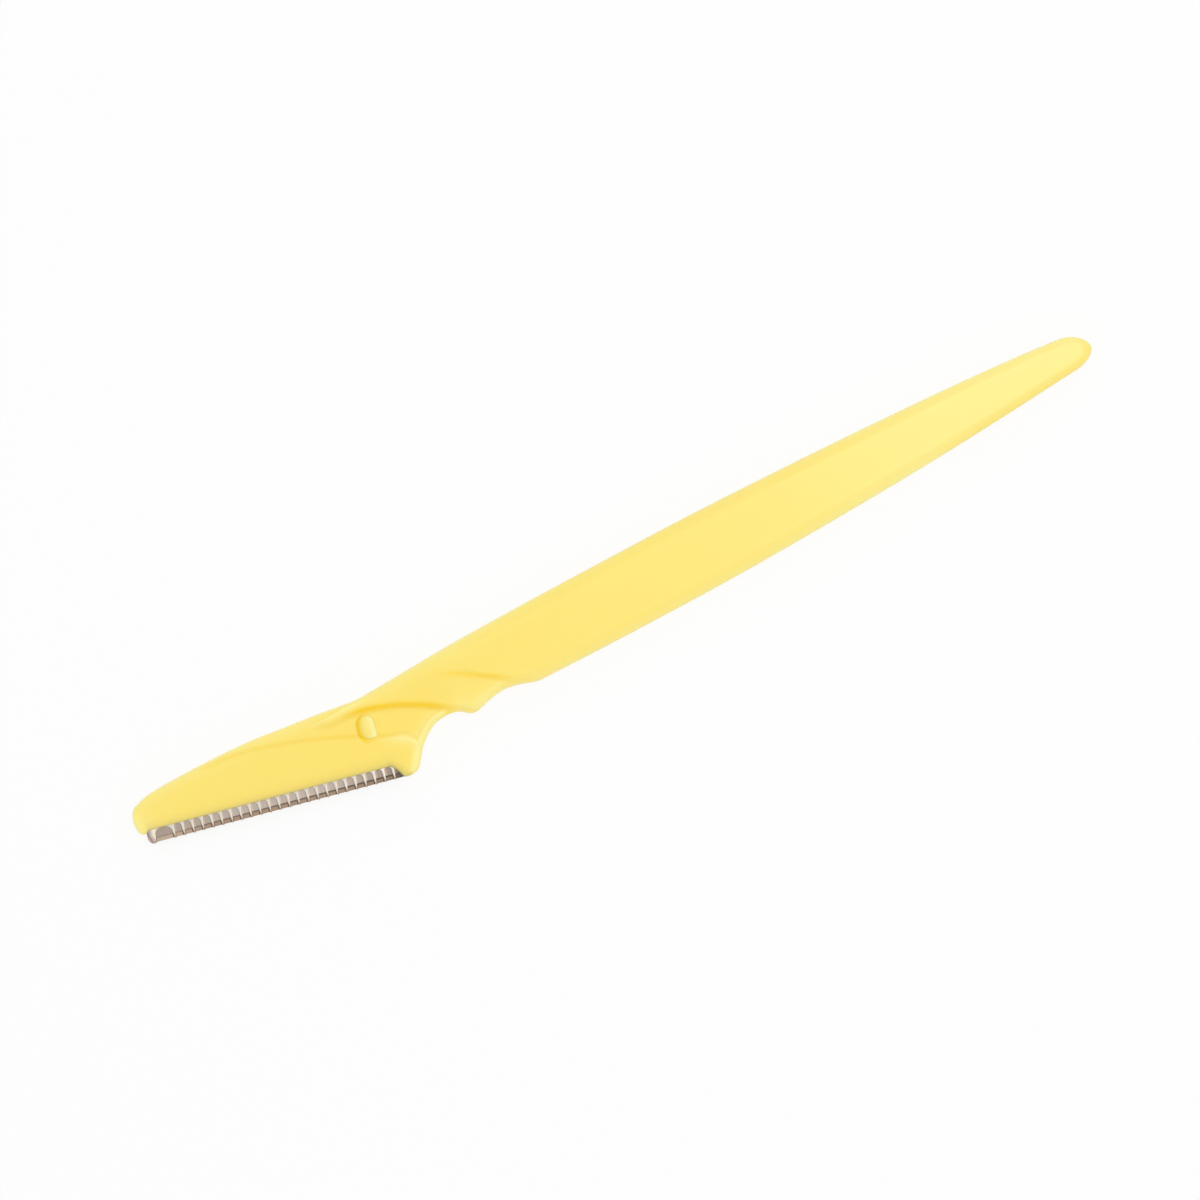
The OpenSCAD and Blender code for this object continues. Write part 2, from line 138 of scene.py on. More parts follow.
# The outline, from the nose: spine and back above, and below the lip, lobe, finger rests and belly
spine_line = [(a * kink_x, b * spine_h) for a, b in (
    (0.03, 0.862), (0.043, 0.88), (0.056, 0.905), (0.085, 0.957), (0.12, 0.98), (0.224, 1),
    (0.39, 0.994), (0.56, 0.952), (0.727, 0.853), (0.84, 0.788), (0.92, 0.73), (1, 0.676))]
back_line = [(mix(kink_x, total_l, a), b * half_w) for a, b in (
    (0, 0.858), (0.025, 0.873), (0.07, 0.915), (0.13, 0.972), (0.23, 1), (0.34, 1.007),
    (0.47, 0.995), (0.61, 0.922), (0.72, 0.835), (0.86, 0.683), (0.97, 0.49), (1, 0.4))]
belly_line = [(grip_x + a * grip_l, -b * half_w) for a, b in (
    (0, 0.96), (0.07, 0.98), (0.17, 0.997), (0.34, 0.987), (0.51, 0.907),
    (0.69, 0.77), (0.82, 0.624), (0.95, 0.452), (1, 0.4))]
lip_end_x = heel_x - 0.26 * lobe_w
heel_lip = lip_y(heel_x)
lobe_y = blade_tip[1] - blade_l * math.sin(tilt) - 0.1425
lobe_line = (
    [(lip_end_x, lip_y(lip_end_x))]
    + turned_points(heel_x, lobe_w, heel_lip, lobe_y, (
        (-0.16, 0.1), (-0.07, 0.42), (0.02, 0.86), (0.12, 0.97), (0.31, 1)))
    + turned_points(heel_x, lobe_w, lobe_y, front_y, ((0.58, 0.07), (0.79, 0.29), (1, 0.515)))
    + turned_points(lobe_x, front_rest_w, lobe_y, front_y, (
        (0.11, 0.693), (0.22, 0.835), (0.33, 0.938), (0.46, 0.987), (0.61, 1)))
    + turned_points(lobe_x, front_rest_w, front_y, cusp_y, ((0.78, 0.29), (0.9, 0.86), (1, 1)))
    + turned_points(cusp_x, rear_rest_w, cusp_y, rear_y, ((0.1, 0.18), (0.3, 0.78), (0.5, 1)))
    + turned_points(cusp_x, rear_rest_w, rear_y, -half_w, ((0.7, 0.22), (0.9, 0.69)))
    + [belly_line[0]])


def body_top(x):
    return np.where(x < kink_x, smooth_line(spine_line, x), smooth_line(back_line, x))


def body_bottom(x):
    under_lip = mix(nose_low_y, lip_y(x), soft((x - 1.2) / 0.3))
    return np.where(x > grip_x, smooth_line(belly_line, x),
                    np.where(x > lip_end_x, smooth_line(lobe_line, x), under_lip))


def top_y(x):
    nose = mix(nose_y, body_top(np.float64(nose_top_l)), round_in(x / nose_top_l))
    body = mix(tail_y, body_top(x), round_in((total_l - x) / tail_round))
    return np.where(x < nose_top_l, nose, body)


def bottom_y(x):
    nose = mix(nose_y, nose_low_y, round_in(x / nose_low_l))
    body = mix(tail_y, body_bottom(x), round_in((total_l - x) / tail_round))
    return np.where(x < nose_low_l, nose, body)


# The steps on the face: the band's upper edge, the tongue's lower edge, the grip's front edge and
# the crest that the tongue starts with
band_line = [(a * heel_x, lip_y(a * heel_x) + b * band_h) for a, b in (
    (0.35, 0.903), (0.49, 1), (0.66, 0.964), (0.857, 0.818))] + [
    (36.1, -1.37), (38.0, -2.15), (39.2, -2.6), (40.1, -3.15), (40.75, -4.0), (41.2, -5.0)]
neck_line = [(tongue_x + a * tongue_l, b * half_w) for a, b in (
    (0, 0.74), (0.14, 0.602), (0.375, 0.531), (0.65, 0.178), (0.83, -0.19), (1, -0.63))]
front_line = [(mix(grip_x, neck_line[-1][0], 1 - a), b * half_w) for a, b in (
    (0, 0.367), (0.2, 0.167), (0.44, -0.163), (0.67, -0.517), (0.8, -0.748), (1, -0.963))]
crest_line = [(tongue_x + a, b) for a, b in ((0, 4.5), (2.5, 4.4), (4.9, 4.38), (6.8, 4.3))]
crest_end_x = 33


def grip_half(x):
    """Half the grip's thickness, which goes down from the land's end to the tail."""
    return mix(half_t, tail_half_t, soft((x - land_end_x) / (total_l - land_end_x)))


def level(x, y):
    """Half the thickness of the moulding before its edges are rounded."""
    recess = ((band_t - plate_t) / 2 * soft((x / heel_x - 0.3) / 0.3)
              * soft(past(band_line, x, y) / 0.8 + 0.5))
    # A shallow groove lies between the tongue's first stretch and the spine
    groove = 0.25 * hump(past(crest_line, x, y) - 0.2, 0.3) * (1 - soft((x - crest_end_x) / 2.5))
    tongue = soft((x - tongue_x) / 2.5) * soft(past(neck_line, x, y) / 1.15 + 0.5) * (1 - groove)
    neck = mix(band_t / 2 - recess, half_t - neck_step, tongue)
    # The step up to the grip widens until it is gone at its upper end
    step_w = 0.9 + 8 * soft((front_line[2][0] - x) / (front_line[2][0] - front_line[0][0]))
    grip = np.where(x > grip_x, 1, soft(past(front_line, x, y) / step_w + 0.5))
    return mix(neck, grip_half(x) - face_play - crown * (y / half_w) ** 2, grip)


def lip_share(x):
    """1 along the lip, where the blade comes out, and 0 at the nose and from the lobe on."""
    return soft((x - 1.275) / 0.225) * soft((heel_x - 0.2 * lobe_w - x) / (0.15 * lobe_w))


def rest_share(x):
    """1 where a rim runs along the first finger rest, between the lobe and the tongue."""
    return stretch(x, 39.5, 41, 45.5, 47)


top_round_line = [(a * total_l, b) for a, b in (
    (0, 0.65), (0.19, 1), (0.22, 0.6), (0.24, 0.5), (0.29, 0.8), (0.36, 0.98),
    (0.4, 1), (0.44, 1), (1, 1))]


def top_round(x):
    """How far the rounding of the upper edge reaches in over the face."""
    return smooth_line(top_round_line, x) * level(x, body_top(x) - half_t)


def bottom_round(x):
    """The same for the lower edge."""
    before_grip = mix(band_t, 2 * half_t, soft((x - lobe_x) / (grip_x - lobe_x))) * 0.42
    return np.where(x > grip_x, grip_half(x), mix(before_grip, 1.6, lip_share(x)))


# The finger rests and the lobe are steep, so distance there is measured square to the edge
edge_x = np.arange(0, total_l, 0.02)
edge_y = bottom_y(edge_x)


def over_bottom(x, y):
    """Distance from each place to the lower edge."""
    straight_up = y - bottom_y(x)
    true = np.empty(y.shape)
    for i, place in enumerate(x[:, 0]):
        near = np.flatnonzero(np.abs(edge_x - place) < 3)
        a, b = near[:-1], near[1:]
        run_x, run_y = edge_x[b] - edge_x[a], edge_y[b] - edge_y[a]
        to_x, to_y = place - edge_x[a], y[i][:, None] - edge_y[a]
        t = np.clip((to_x * run_x + to_y * run_y) / (run_x**2 + run_y**2), 0, 1)
        true[i] = np.sqrt(((to_x - t * run_x) ** 2 + (to_y - t * run_y) ** 2).min(axis=1))
    return np.where(x > 3, np.minimum(true, straight_up), straight_up)


def face_z(x, y):
    """Height of the face above the parting plane, with both long edges and both ends rounded."""
    from_edge = over_bottom(x, y)
    ends = round_in(x / 0.8) * round_in((total_l - x) / 1.6)
    rim = rest_share(x) * (1 - soft((from_edge - 0.55) / 0.8))
    raised = mix(level(x, y), np.maximum(level(x, y), plate_t / 2 + 0.25), rim)
    edge = mix(edge_half_t, lip_half_t, lip_share(x))
    upper = mix(edge_half_t, raised, round_in((top_y(x) - y) / top_round(x)) * ends)
    return np.minimum(edge, upper) + np.maximum(upper - edge, 0) * round_in(from_edge / bottom_round(x))


def spread(a, b, step):
    return np.linspace(a, b, math.ceil((b - a) / step), endpoint=False)


# The skin is a grid of rings down the length, close together over the head and wider apart along
# the plain grip, and of rows across it, close together where the edges turn in
ring_x = np.concatenate([
    1 - np.cos(np.linspace(0, math.pi / 2, 12, endpoint=False)), spread(1, 60, 0.21),
    spread(60, total_l - tail_round, 0.75),
    total_l - tail_round * (1 - np.sin(np.linspace(0, math.pi / 2, 14)))])
low_y, high_y = bottom_y(ring_x), top_y(ring_x)
room = high_y - low_y
first_flat = low_y + np.minimum(bottom_round(ring_x), 0.4 * room)
last_flat = high_y - np.minimum(top_round(ring_x), 0.4 * room)
turn = 1 - np.cos(np.linspace(0, math.pi / 2, 10))
face_y = np.stack(
    [mix(low_y, first_flat, t) for t in turn]
    + [mix(first_flat, last_flat, t) for t in np.linspace(0, 1, 66)[1:-1]]
    + [mix(high_y, last_flat, t) for t in turn[::-1]], axis=1)
# Below the face, the slot under the lip takes the blade and its guard. Elsewhere the edge turns in
# to the fine groove of the parting line.
slot = lip_share(ring_x)
groove_d = parting_d * np.minimum(room, 1)
slot_z = mix(edge_half_t, slot_half_t, slot)
place_y = np.column_stack([
    low_y + slot_d * slot + groove_d * (1 - slot), low_y + slot_d * slot, low_y, face_y, high_y - groove_d])
place_z = np.column_stack([0 * low_y, slot_z, slot_z, face_z(ring_x[:, None], face_y), 0 * high_y])

# The yellow isn't one even colour: painted shade lies deeper at the foot of each moulded step,
# painted highlight paler along the outline, and painted shade greyer over the steel under the thin
# lip. Every point of the skin carries the share of each: shade, highlight, lip shade.
nub_l, nub_w, nub_h = 3.4, 2.1, half_t - plate_t / 2
nub_u, nub_v = 0.917 * blade_l, exposed_h + 0.847 * band_h
on_blade = Matrix.Translation((*blade_tip, 0)) @ Matrix.Rotation(-tilt, 4, "Z")


def nub_reach(u, v):
    """1 on the nub's side wall: its plan is a rounded block with a squarer corner at its lower right."""
    power = 2.4 + 2.2 * soft(u / 0.5) * soft(-v / 0.7)
    return (np.abs(u / (nub_w / 2)) ** power + np.abs(v / (nub_l / 2)) ** power) ** (1 / power)


def painted_shade_share(x, y, from_edge):
    """Painted shade: deeper along the foot of each step, round the nub's side towards the tip, and below
    the tail.
    """
    neck_foot = (soft((x - 31.5) / 5) * (1 - 0.75 * soft((x - 45) / 2.5))
                 * hump(past(neck_line, x, y) - 0.08, 0.48))
    grip_foot = 0.55 * stretch(x, 46, 51, 54.3, 57.8) * hump(past(front_line, x, y) - 0.1, 0.42)
    band_foot = ((0.22 + 0.12 * hump(x - 17, 4)) * stretch(x, 11, 14, 38, 41)
                 * hump(past(band_line, x, y) - 0.22, 0.32))
    crest_foot = (0.12 * stretch(x, tongue_x, tongue_x + 1.5, crest_end_x, crest_end_x + 2)
                  * hump(past(crest_line, x, y) - 0.15, 0.25))
    # Round the nub's side towards the tip, this is the nub's painted shadow
    u = (x - blade_tip[0]) * math.cos(tilt) - (y - blade_tip[1]) * math.sin(tilt) - nub_u
    v = (x - blade_tip[0]) * math.sin(tilt) + (y - blade_tip[1]) * math.cos(tilt) - nub_v
    from_middle = np.maximum(np.hypot(u, v), 0.01)
    tip_side = soft(0.35 - 0.85 * (0.98 * u + 0.16 * v) / from_middle)
    from_nub = np.hypot(u, v) * (1 - 1 / np.maximum(nub_reach(u, v), 0.01))
    nub_foot = 0.9 * tip_side * (1 - soft((from_nub - 0.45 * tip_side) / 0.3))
    under_tail = 0.14 * soft((x - 120) / 12) * hump(from_edge, 0.8)
    return np.clip(neck_foot + grip_foot + band_foot + crest_foot + nub_foot + under_tail, 0, 1)


def painted_highlight_share(x, y, from_edge):
    """Painted highlight: paler along every edge and crest, and a painted sheen along the grip, growing
    towards the tail.
    """
    rise = body_top(x + 1) - body_top(x - 1)
    from_top = np.maximum(top_y(x) - y, 0) / np.sqrt(1 + (rise / 2) ** 2)
    from_band = past(band_line, x, y)
    along_top = mix(0.48, 0.26, soft((x - 50) / 20)) * np.exp(-from_top / 0.85)
    # The painted highlight on the lower edge fades beside the cusp, behind the second finger rest and at
    # the tail
    along_bottom = (mix(0.44, 0.24, soft((x - 50) / 12)) * soft((x - 38.6) / 1)
                    * (1 - 0.9 * hump(x - 46.8, 1.1)) * (1 - 0.5 * hump(x - 57, 2.5))
                    * (1 - soft((x - 120) / 14)) * hump(from_edge, 1.4))
    first_rest = rest_share(x) * (
        0.36 * (1 - soft((from_edge - 0.75) / 0.4)) + 0.24 * hump(from_edge - 0.7, 0.22))
    second_rest = 0.34 * stretch(x, 49.5, 51, 54.5, 56.5) * hump(from_edge - 0.95, 0.45)
    on_lobe = soft((x - 37.4) / 1.2) * (x < 42) * soft((-4 - y) / 1.2)
    along_lobe = on_lobe * (
        0.42 * (1 - soft((from_edge - 0.3) / 1.5)) + 0.24 * hump(from_edge - 0.68, 0.3))
    on_pad = soft((x - 35.5) / 4) * (x < 41.3) * soft((y + 5.8) / 1)
    along_pad = on_pad * (0.26 * hump(from_band + 0.35, 0.32) + 0.3 * hump(from_band + 0.8, 0.8))
    round_nose = 0.62 * np.exp(-x / 1.0) + 0.08 * np.exp(-x / 10)
    edges = np.maximum.reduce(
        [along_top, along_bottom, first_rest, second_rest, along_lobe, along_pad, round_nose])
    tail_sheen = 0.03 * soft((x - 44) / 10) + 0.05 * hump(x - 50, 2) + 0.21 * soft((x - 82) / 62)
    crest = (0.3 * stretch(x, tongue_x, tongue_x + 0.7, 34.5, 37.5)
             * hump(past(crest_line, x, y) + 0.22, 0.22))
    return np.clip(edges + tail_sheen + crest, 0, 1)


def lip_shade_share(x, from_edge):
    """Painted shade, greyer along the lip over the steel, most of all where the lip ends at the heel."""
    over_steel = stretch(x, 1.3, 1.7, 37.4, 38.4) * (1 + 0.5 * soft((x - 35.2) / 1))
    return 0.36 * over_steel * np.exp(-from_edge / 0.52)


place_x = np.repeat(ring_x[:, None], place_y.shape[1], axis=1)
from_low = over_bottom(place_x, place_y)
painted_shade = painted_shade_share(place_x, place_y, from_low)
painted_highlight = painted_highlight_share(place_x, place_y, from_low) * (1 - painted_shade)
lip_shade = lip_shade_share(place_x, from_low)

skin = bmesh.new()
painted_light = skin.verts.layers.float_vector.new("painted_light")
rings, rows = place_y.shape
bmesh.ops.create_grid(skin, x_segments=rings - 1, y_segments=rows - 1, size=0.5)
for v in skin.verts:
    i, k = round((v.co.x + 0.5) * (rings - 1)), round((v.co.y + 0.5) * (rows - 1))
    v.co = (ring_x[i], place_y[i, k], place_z[i, k])
    v[painted_light] = (painted_shade[i, k], painted_highlight[i, k], lip_shade[i, k])
same_place = 0.002
bmesh.ops.remove_doubles(skin, verts=skin.verts, dist=same_place)
bmesh.ops.mirror(skin, geom=skin.verts[:] + skin.edges[:] + skin.faces[:], matrix=Matrix.Identity(4),
                 merge_dist=0.0005, axis="Z")
bmesh.ops.remove_doubles(skin, verts=skin.verts, dist=same_place)
bmesh.ops.dissolve_degenerate(skin, edges=skin.edges, dist=0.0005)

# The snap nub that holds the cap: a low pill on each face, square to the blade, with a soft top edge
# and, on its side towards the tip, a foot that runs out into the plate
sunk, foot_w, tiny = 0.3, 0.55, 1e-6
for side in (1, -1):
    before = set(skin.verts)
    bmesh.ops.create_uvsphere(skin, u_segments=64, v_segments=48, radius=1)
    for v in [v for v in skin.verts if v not in before]:
        # A sphere drawn out to the nub's plan, with a power that flattens its top. Its poles stay on
        # the nub's axis.
        x, y, z = v.co
        from_axis = math.hypot(x, y)
        grow = 1.03 * (1 - min(abs(z), 1) ** 2.2) ** (1 / 2.2) / from_axis if from_axis > tiny else 0
        x, y = x * grow * nub_w / 2, y * grow * nub_l / 2
        from_middle = math.hypot(x, y)
        tip_side, foot, fit = 0, 0, 1
        if from_middle > tiny:
            tip_side = float(soft(0.3 - 0.85 * (0.98 * x + 0.12 * y) / from_middle))
            foot = tip_side * min(max((0.85 - z) / 0.6, 0), 1) ** 2.5
            fit = math.hypot(x / (nub_w / 2), y / (nub_l / 2)) / float(nub_reach(x, y))
            fit *= 1 + foot_w * foot / from_middle
        v.co = on_blade @ Vector((
            nub_u + x * fit, nub_v + y * fit, side * (plate_t / 2 - sunk + z * (nub_h + sunk))))
        # It takes a painted highlight on top and on its bare wall, most in a streak on the heel side, and a
        # painted shadow at its foot
        streak = 0.4 * float(hump(x - 0.66, 0.3)) * max(0, min(z * 1.5, 1))
        wall = 0.5 * (1 - tip_side) * min(max((0.95 - z) / 0.4, 0), 1)
        foot_shadow = min(2 * foot, 1)
        v[painted_light] = (foot_shadow, min(0.2 + streak + wall, 1) * (1 - foot_shadow), 0)
bmesh.ops.recalc_face_normals(skin, faces=skin.faces)
for v in skin.verts:
    place = to_row(*v.co)
    v.co = [min(max(place[i], handle_low[i]), handle_high[i]) for i in range(3)]
for face in skin.faces:
    face.smooth = True

handle_mesh = bpy.data.meshes.new("handle_skin")
skin.to_mesh(handle_mesh)
skin.free()
handle_mesh.set_sharp_from_angle(angle=math.radians(50))
handle = bpy.data.objects.new("handle_skin", handle_mesh)
bpy.context.collection.objects.link(handle)


def linear(hex_colour):
    """An sRGB hex colour as the linear colour that a shader takes."""
    parts = [int(hex_colour[i:i + 2], 16) / 255 for i in (1, 3, 5)]
    return [c / 12.92 if c <= 0.04045 else ((c + 0.055) / 1.055) ** 2.4 for c in parts] + [1]


def add_node(tree, kind, settings=None, **inputs):
    """A node with its settings, whose inputs are values or other nodes' outputs."""
    made = tree.nodes.new(kind)
    for name, value in (settings or {}).items():
        setattr(made, name, value)
    for name, value in inputs.items():
        plug = made.inputs[int(name[1:])] if name[1:].isdigit() else made.inputs[name.replace("_", " ")]
        if isinstance(value, bpy.types.NodeSocket):
            tree.links.new(value, plug)
        else:
            plug.default_value = value
    return made


def new_material(name):
    made = bpy.data.materials.new(name)
    made.use_nodes = True
    made.node_tree.nodes.clear()
    return made


# Moulded ABS, pigmented a light warm yellow: satin from a finely spark-eroded mould, with a soft glow
# where light goes a little way in, and faint flow marks, 40 mm long and 8 mm wide, that run with the
# melt. The mould's grain is too fine to show here, so it is drawn at 3.5 grains a millimetre.
abs_yellow = new_material("moulded_abs_yellow")
tree = abs_yellow.node_tree
place = add_node(tree, "ShaderNodeTexCoord").outputs["Object"]
flow_map = add_node(tree, "ShaderNodeMapping", Vector=place, Scale=(0.025 / MM, 0.12 / MM, 0.12 / MM))
flow = add_node(tree, "ShaderNodeTexNoise", Vector=flow_map.outputs[0], Scale=1.0, Detail=2.0,
                Roughness=0.5)
colour = add_node(tree, "ShaderNodeMix", {"data_type": "RGBA"}, Factor=flow.outputs["Fac"],
                  _6=linear("#ffe065"), _7=linear("#ffe56f"))
carried = add_node(tree, "ShaderNodeAttribute", {"attribute_name": "painted_light"})
shares = add_node(tree, "ShaderNodeSeparateXYZ", Vector=carried.outputs["Vector"])
# Painted highlight, painted shade under the lip and painted shade at the steps, mixed in by their shares
highlight_yellow, lip_shade_grey, shade_yellow = "#fffcb4", "#7c9576", "#ffd410"
for share, over in (("Y", highlight_yellow), ("Z", lip_shade_grey), ("X", shade_yellow)):
    colour = add_node(tree, "ShaderNodeMix", {"data_type": "RGBA"}, Factor=shares.outputs[share],
                      _6=colour.outputs[2], _7=linear(over))
grain = add_node(tree, "ShaderNodeTexNoise", Vector=place, Scale=3.5 / MM, Detail=2.0, Roughness=0.6)
sheen = add_node(tree, "ShaderNodeMapRange", Value=flow.outputs["Fac"], To_Min=0.3, To_Max=0.36)
bump = add_node(tree, "ShaderNodeBump", Height=grain.outputs["Fac"], Strength=0.25, Distance=0.01 * MM)
plastic = add_node(
    tree, "ShaderNodeBsdfPrincipled", Base_Color=colour.outputs[2], Roughness=sheen.outputs[0], IOR=1.53,
    Normal=bump.outputs[0], Subsurface_Weight=0.2, Subsurface_Radius=(1.0, 0.6, 0.25),
    Subsurface_Scale=0.5 * MM)
add_node(tree, "ShaderNodeOutputMaterial", Surface=plastic.outputs[0])
handle_mesh.materials.append(abs_yellow)
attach(handle, "root")
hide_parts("handle")

# The blade. A strip of martensitic stainless steel, rolled, hardened and ground to an edge on both
# faces. It is held by the plastic that is moulded through its holes, and it needs no mesh of its own.
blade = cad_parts["blade"]

# Ground stainless steel: it keeps grinding lines square to the edge, which are too fine to show here
# and so are drawn at six to a millimetre. The bevel along the edge is browner than the flat, a painted
# reflection of darker surroundings, with a painted dark line at its top where the reflection changes.
# U runs along the edge from the tip and V up from it, in millimetres.
bar_pitch, second_bar_u = 1.39, 3.87
edge_at, edge_turn, edge_scale = to_row(*blade_tip, 0), (0, 0, -tilt), (MM, MM, MM)
steel = new_material("ground_stainless_steel")
tree = steel.node_tree
place = add_node(tree, "ShaderNodeTexCoord").outputs["Object"]
along = add_node(tree, "ShaderNodeMapping", {"vector_type": "TEXTURE"}, Vector=place,
                 Location=edge_at, Rotation=edge_turn, Scale=edge_scale)
split = add_node(tree, "ShaderNodeSeparateXYZ", Vector=along.outputs[0])
u, v = split.outputs["X"], split.outputs["Y"]
streak_map = add_node(tree, "ShaderNodeMapping", Vector=along.outputs[0], Scale=(6, 0.26, 0.26))
streak = add_node(tree, "ShaderNodeTexNoise", Vector=streak_map.outputs[0], Scale=1.0, Detail=3.0)
flat_tint = add_node(tree, "ShaderNodeMix", {"data_type": "RGBA"}, Factor=streak.outputs["Fac"],
                     _6=linear("#b0a296"), _7=linear("#bdb0a6"))
bevel_tint = add_node(tree, "ShaderNodeMix", {"data_type": "RGBA"}, Factor=streak.outputs["Fac"],
                      _6=linear("#9c836e"), _7=linear("#b19782"))
on_flat = add_node(tree, "ShaderNodeMapRange", Value=v, From_Min=0.82, From_Max=0.92).outputs[0]
on_bevel = add_node(tree, "ShaderNodeMath", {"operation": "SUBTRACT"}, _0=1.0, _1=on_flat).outputs[0]
colour = add_node(tree, "ShaderNodeMix", {"data_type": "RGBA"}, Factor=on_flat,
                  _6=bevel_tint.outputs[2], _7=flat_tint.outputs[2])

# Phase goes from 0 at each bar of the guard to 1 at the next, from the second bar on
turns = add_node(tree, "ShaderNodeMapRange", {"clamp": False}, Value=u,
                 From_Min=second_bar_u, From_Max=second_bar_u + bar_pitch)
phase = add_node(tree, "ShaderNodeMath", {"operation": "FRACT"}, _0=turns.outputs[0]).outputs[0]
past_first = add_node(tree, "ShaderNodeMath", {"operation": "GREATER_THAN"}, _0=u, _1=3.5).outputs[0]
lit_flat = add_node(tree, "ShaderNodeMath", {"operation": "MULTIPLY"}, _0=past_first, _1=on_flat).outputs[0]

# Both faces go browner towards the heel, painted shade. At the tip the flat is darker and the bevel
# lighter, and past each bar the flat takes a painted reflection of the bar's warm side.
brown, light_tan, bar_reflection_tan, dark_brown = "#7b6650", "#d8c4b0", "#dcc8ac", "#574e47"
for value, start, end, most, where, over in (
        (u, 27, 36, 0.6, 1.0, brown), (u, 14, 3, 0.33, on_flat, brown),
        (u, 9, 4, 0.42, on_bevel, light_tan), (phase, 0.34, 0.14, 0.6, lit_flat, bar_reflection_tan)):
    share = add_node(tree, "ShaderNodeMapRange", Value=value, From_Min=start, From_Max=end, To_Max=most)
    share = add_node(tree, "ShaderNodeMath", {"operation": "MULTIPLY"}, _0=share.outputs[0], _1=where)
    colour = add_node(tree, "ShaderNodeMix", {"data_type": "RGBA"}, Factor=share.outputs[0],
                      _6=colour.outputs[2], _7=linear(over))

# Painted shade: a dark line at the bevel's top where the reflection changes, weaker towards the tip; a
# painted shadow of each bar just before it, weaker on the flat; and the last window, in the lobe's shadow
line = add_node(tree, "ShaderNodeValToRGB", Fac=v)
line_start, line_end = line.color_ramp.elements
line_start.position, line_start.color = 0.6, (0, 0, 0, 1)
line_end.position, line_end.color = 0.92, (0, 0, 0, 1)
for at in (0.74, 0.84):
    line.color_ramp.elements.new(at).color = (1, 1, 1, 1)
to_heel = add_node(tree, "ShaderNodeMapRange", Value=u, From_Min=2, From_Max=36, To_Min=0.4, To_Max=1.0)
dark_line = add_node(tree, "ShaderNodeMath", {"operation": "MULTIPLY"},
                     _0=line.outputs["Color"], _1=to_heel.outputs[0])
bar_shadow = add_node(tree, "ShaderNodeMapRange", Value=phase, From_Min=0.74, From_Max=0.82)
bar_shadow = add_node(tree, "ShaderNodeMath", {"operation": "MULTIPLY"}, _0=bar_shadow.outputs[0], _1=past_first)
up_flat = add_node(tree, "ShaderNodeMapRange", Value=on_flat, To_Min=0.9, To_Max=0.35)
bar_shadow = add_node(tree, "ShaderNodeMath", {"operation": "MULTIPLY"},
                  _0=bar_shadow.outputs[0], _1=up_flat.outputs[0])
last_window = add_node(tree, "ShaderNodeMapRange", Value=u, From_Min=35.3, From_Max=36.8, To_Max=0.85)
dark = add_node(tree, "ShaderNodeMath", {"operation": "MAXIMUM"},
                _0=bar_shadow.outputs[0], _1=dark_line.outputs[0])
dark = add_node(tree, "ShaderNodeMath", {"operation": "MAXIMUM"},
                _0=dark.outputs[0], _1=last_window.outputs[0])
colour = add_node(tree, "ShaderNodeMix", {"data_type": "RGBA"}, Factor=dark.outputs[0],
                  _6=colour.outputs[2], _7=linear(dark_brown))

rough = add_node(tree, "ShaderNodeMapRange", Value=streak.outputs["Fac"], To_Min=0.24, To_Max=0.34)
bump = add_node(tree, "ShaderNodeBump", Height=streak.outputs["Fac"], Strength=0.2, Distance=0.004 * MM)
metal = add_node(tree, "ShaderNodeBsdfPrincipled", Base_Color=colour.outputs[2], Metallic=1.0,
                 Roughness=rough.outputs[0], Normal=bump.outputs[0])
add_node(tree, "ShaderNodeOutputMaterial", Surface=metal.outputs[0])
blade.data.materials.clear()
blade.data.materials.append(steel)

# The guard. Bright stainless sheet, 0.12 mm thick, pierced in a press with one wide window and 24
# narrow ones, and folded round the edge and both ends of the blade. It is the solid's own shape,
# copied, with its sheared edges rounded as tumbling leaves them.
guard_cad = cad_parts["blade_guard"]
sheet = bmesh.new()
sheet.from_mesh(guard_cad.data)
bmesh.ops.scale(sheet, verts=sheet.verts, vec=(1 / MM,) * 3)
bmesh.ops.remove_doubles(sheet, verts=sheet.verts, dist=0.0005)
bmesh.ops.dissolve_limit(sheet, angle_limit=math.radians(1), verts=sheet.verts, edges=sheet.edges)
sheared_edges = [e for e in sheet.edges
                 if len(e.link_faces) == 2 and e.calc_face_angle(0) > math.radians(40)]
bmesh.ops.bevel(sheet, geom=sheared_edges, offset=0.055, offset_type="OFFSET", affect="EDGES",
                segments=3, profile=0.5, material=-1, clamp_overlap=True)
bmesh.ops.scale(sheet, verts=sheet.verts, vec=(MM,) * 3)
for face in sheet.faces:
    face.smooth = True
guard_mesh = bpy.data.meshes.new("guard_sheet")
sheet.to_mesh(guard_mesh)
sheet.free()
guard_mesh.set_sharp_from_angle(angle=math.radians(50))
guard = bpy.data.objects.new("guard_sheet", guard_mesh)
bpy.context.collection.objects.link(guard)

# Bright pressed stainless: almost white, with a slight mottle of about 1.8 spots a millimetre from
# tumbling. Its bars are too narrow for the sheet to show a clear reflection, so the reflections and
# shade that a bar takes from what is round it are painted across it and up it.
bright = new_material("pressed_bright_stainless")
tree = bright.node_tree
place = add_node(tree, "ShaderNodeTexCoord")
along = add_node(tree, "ShaderNodeMapping", {"vector_type": "TEXTURE"}, Vector=place.outputs["Object"],
                 Location=edge_at, Rotation=edge_turn, Scale=edge_scale)
split = add_node(tree, "ShaderNodeSeparateXYZ", Vector=along.outputs[0])
u, v = split.outputs["X"], split.outputs["Y"]
mottle = add_node(tree, "ShaderNodeTexNoise", Vector=place.outputs["Object"], Scale=1.8 / MM, Detail=3.0)
colour = add_node(tree, "ShaderNodeMix", {"data_type": "RGBA"}, Factor=mottle.outputs["Fac"],
                  _6=linear("#cfc8bc"), _7=linear("#d8d2c8"))
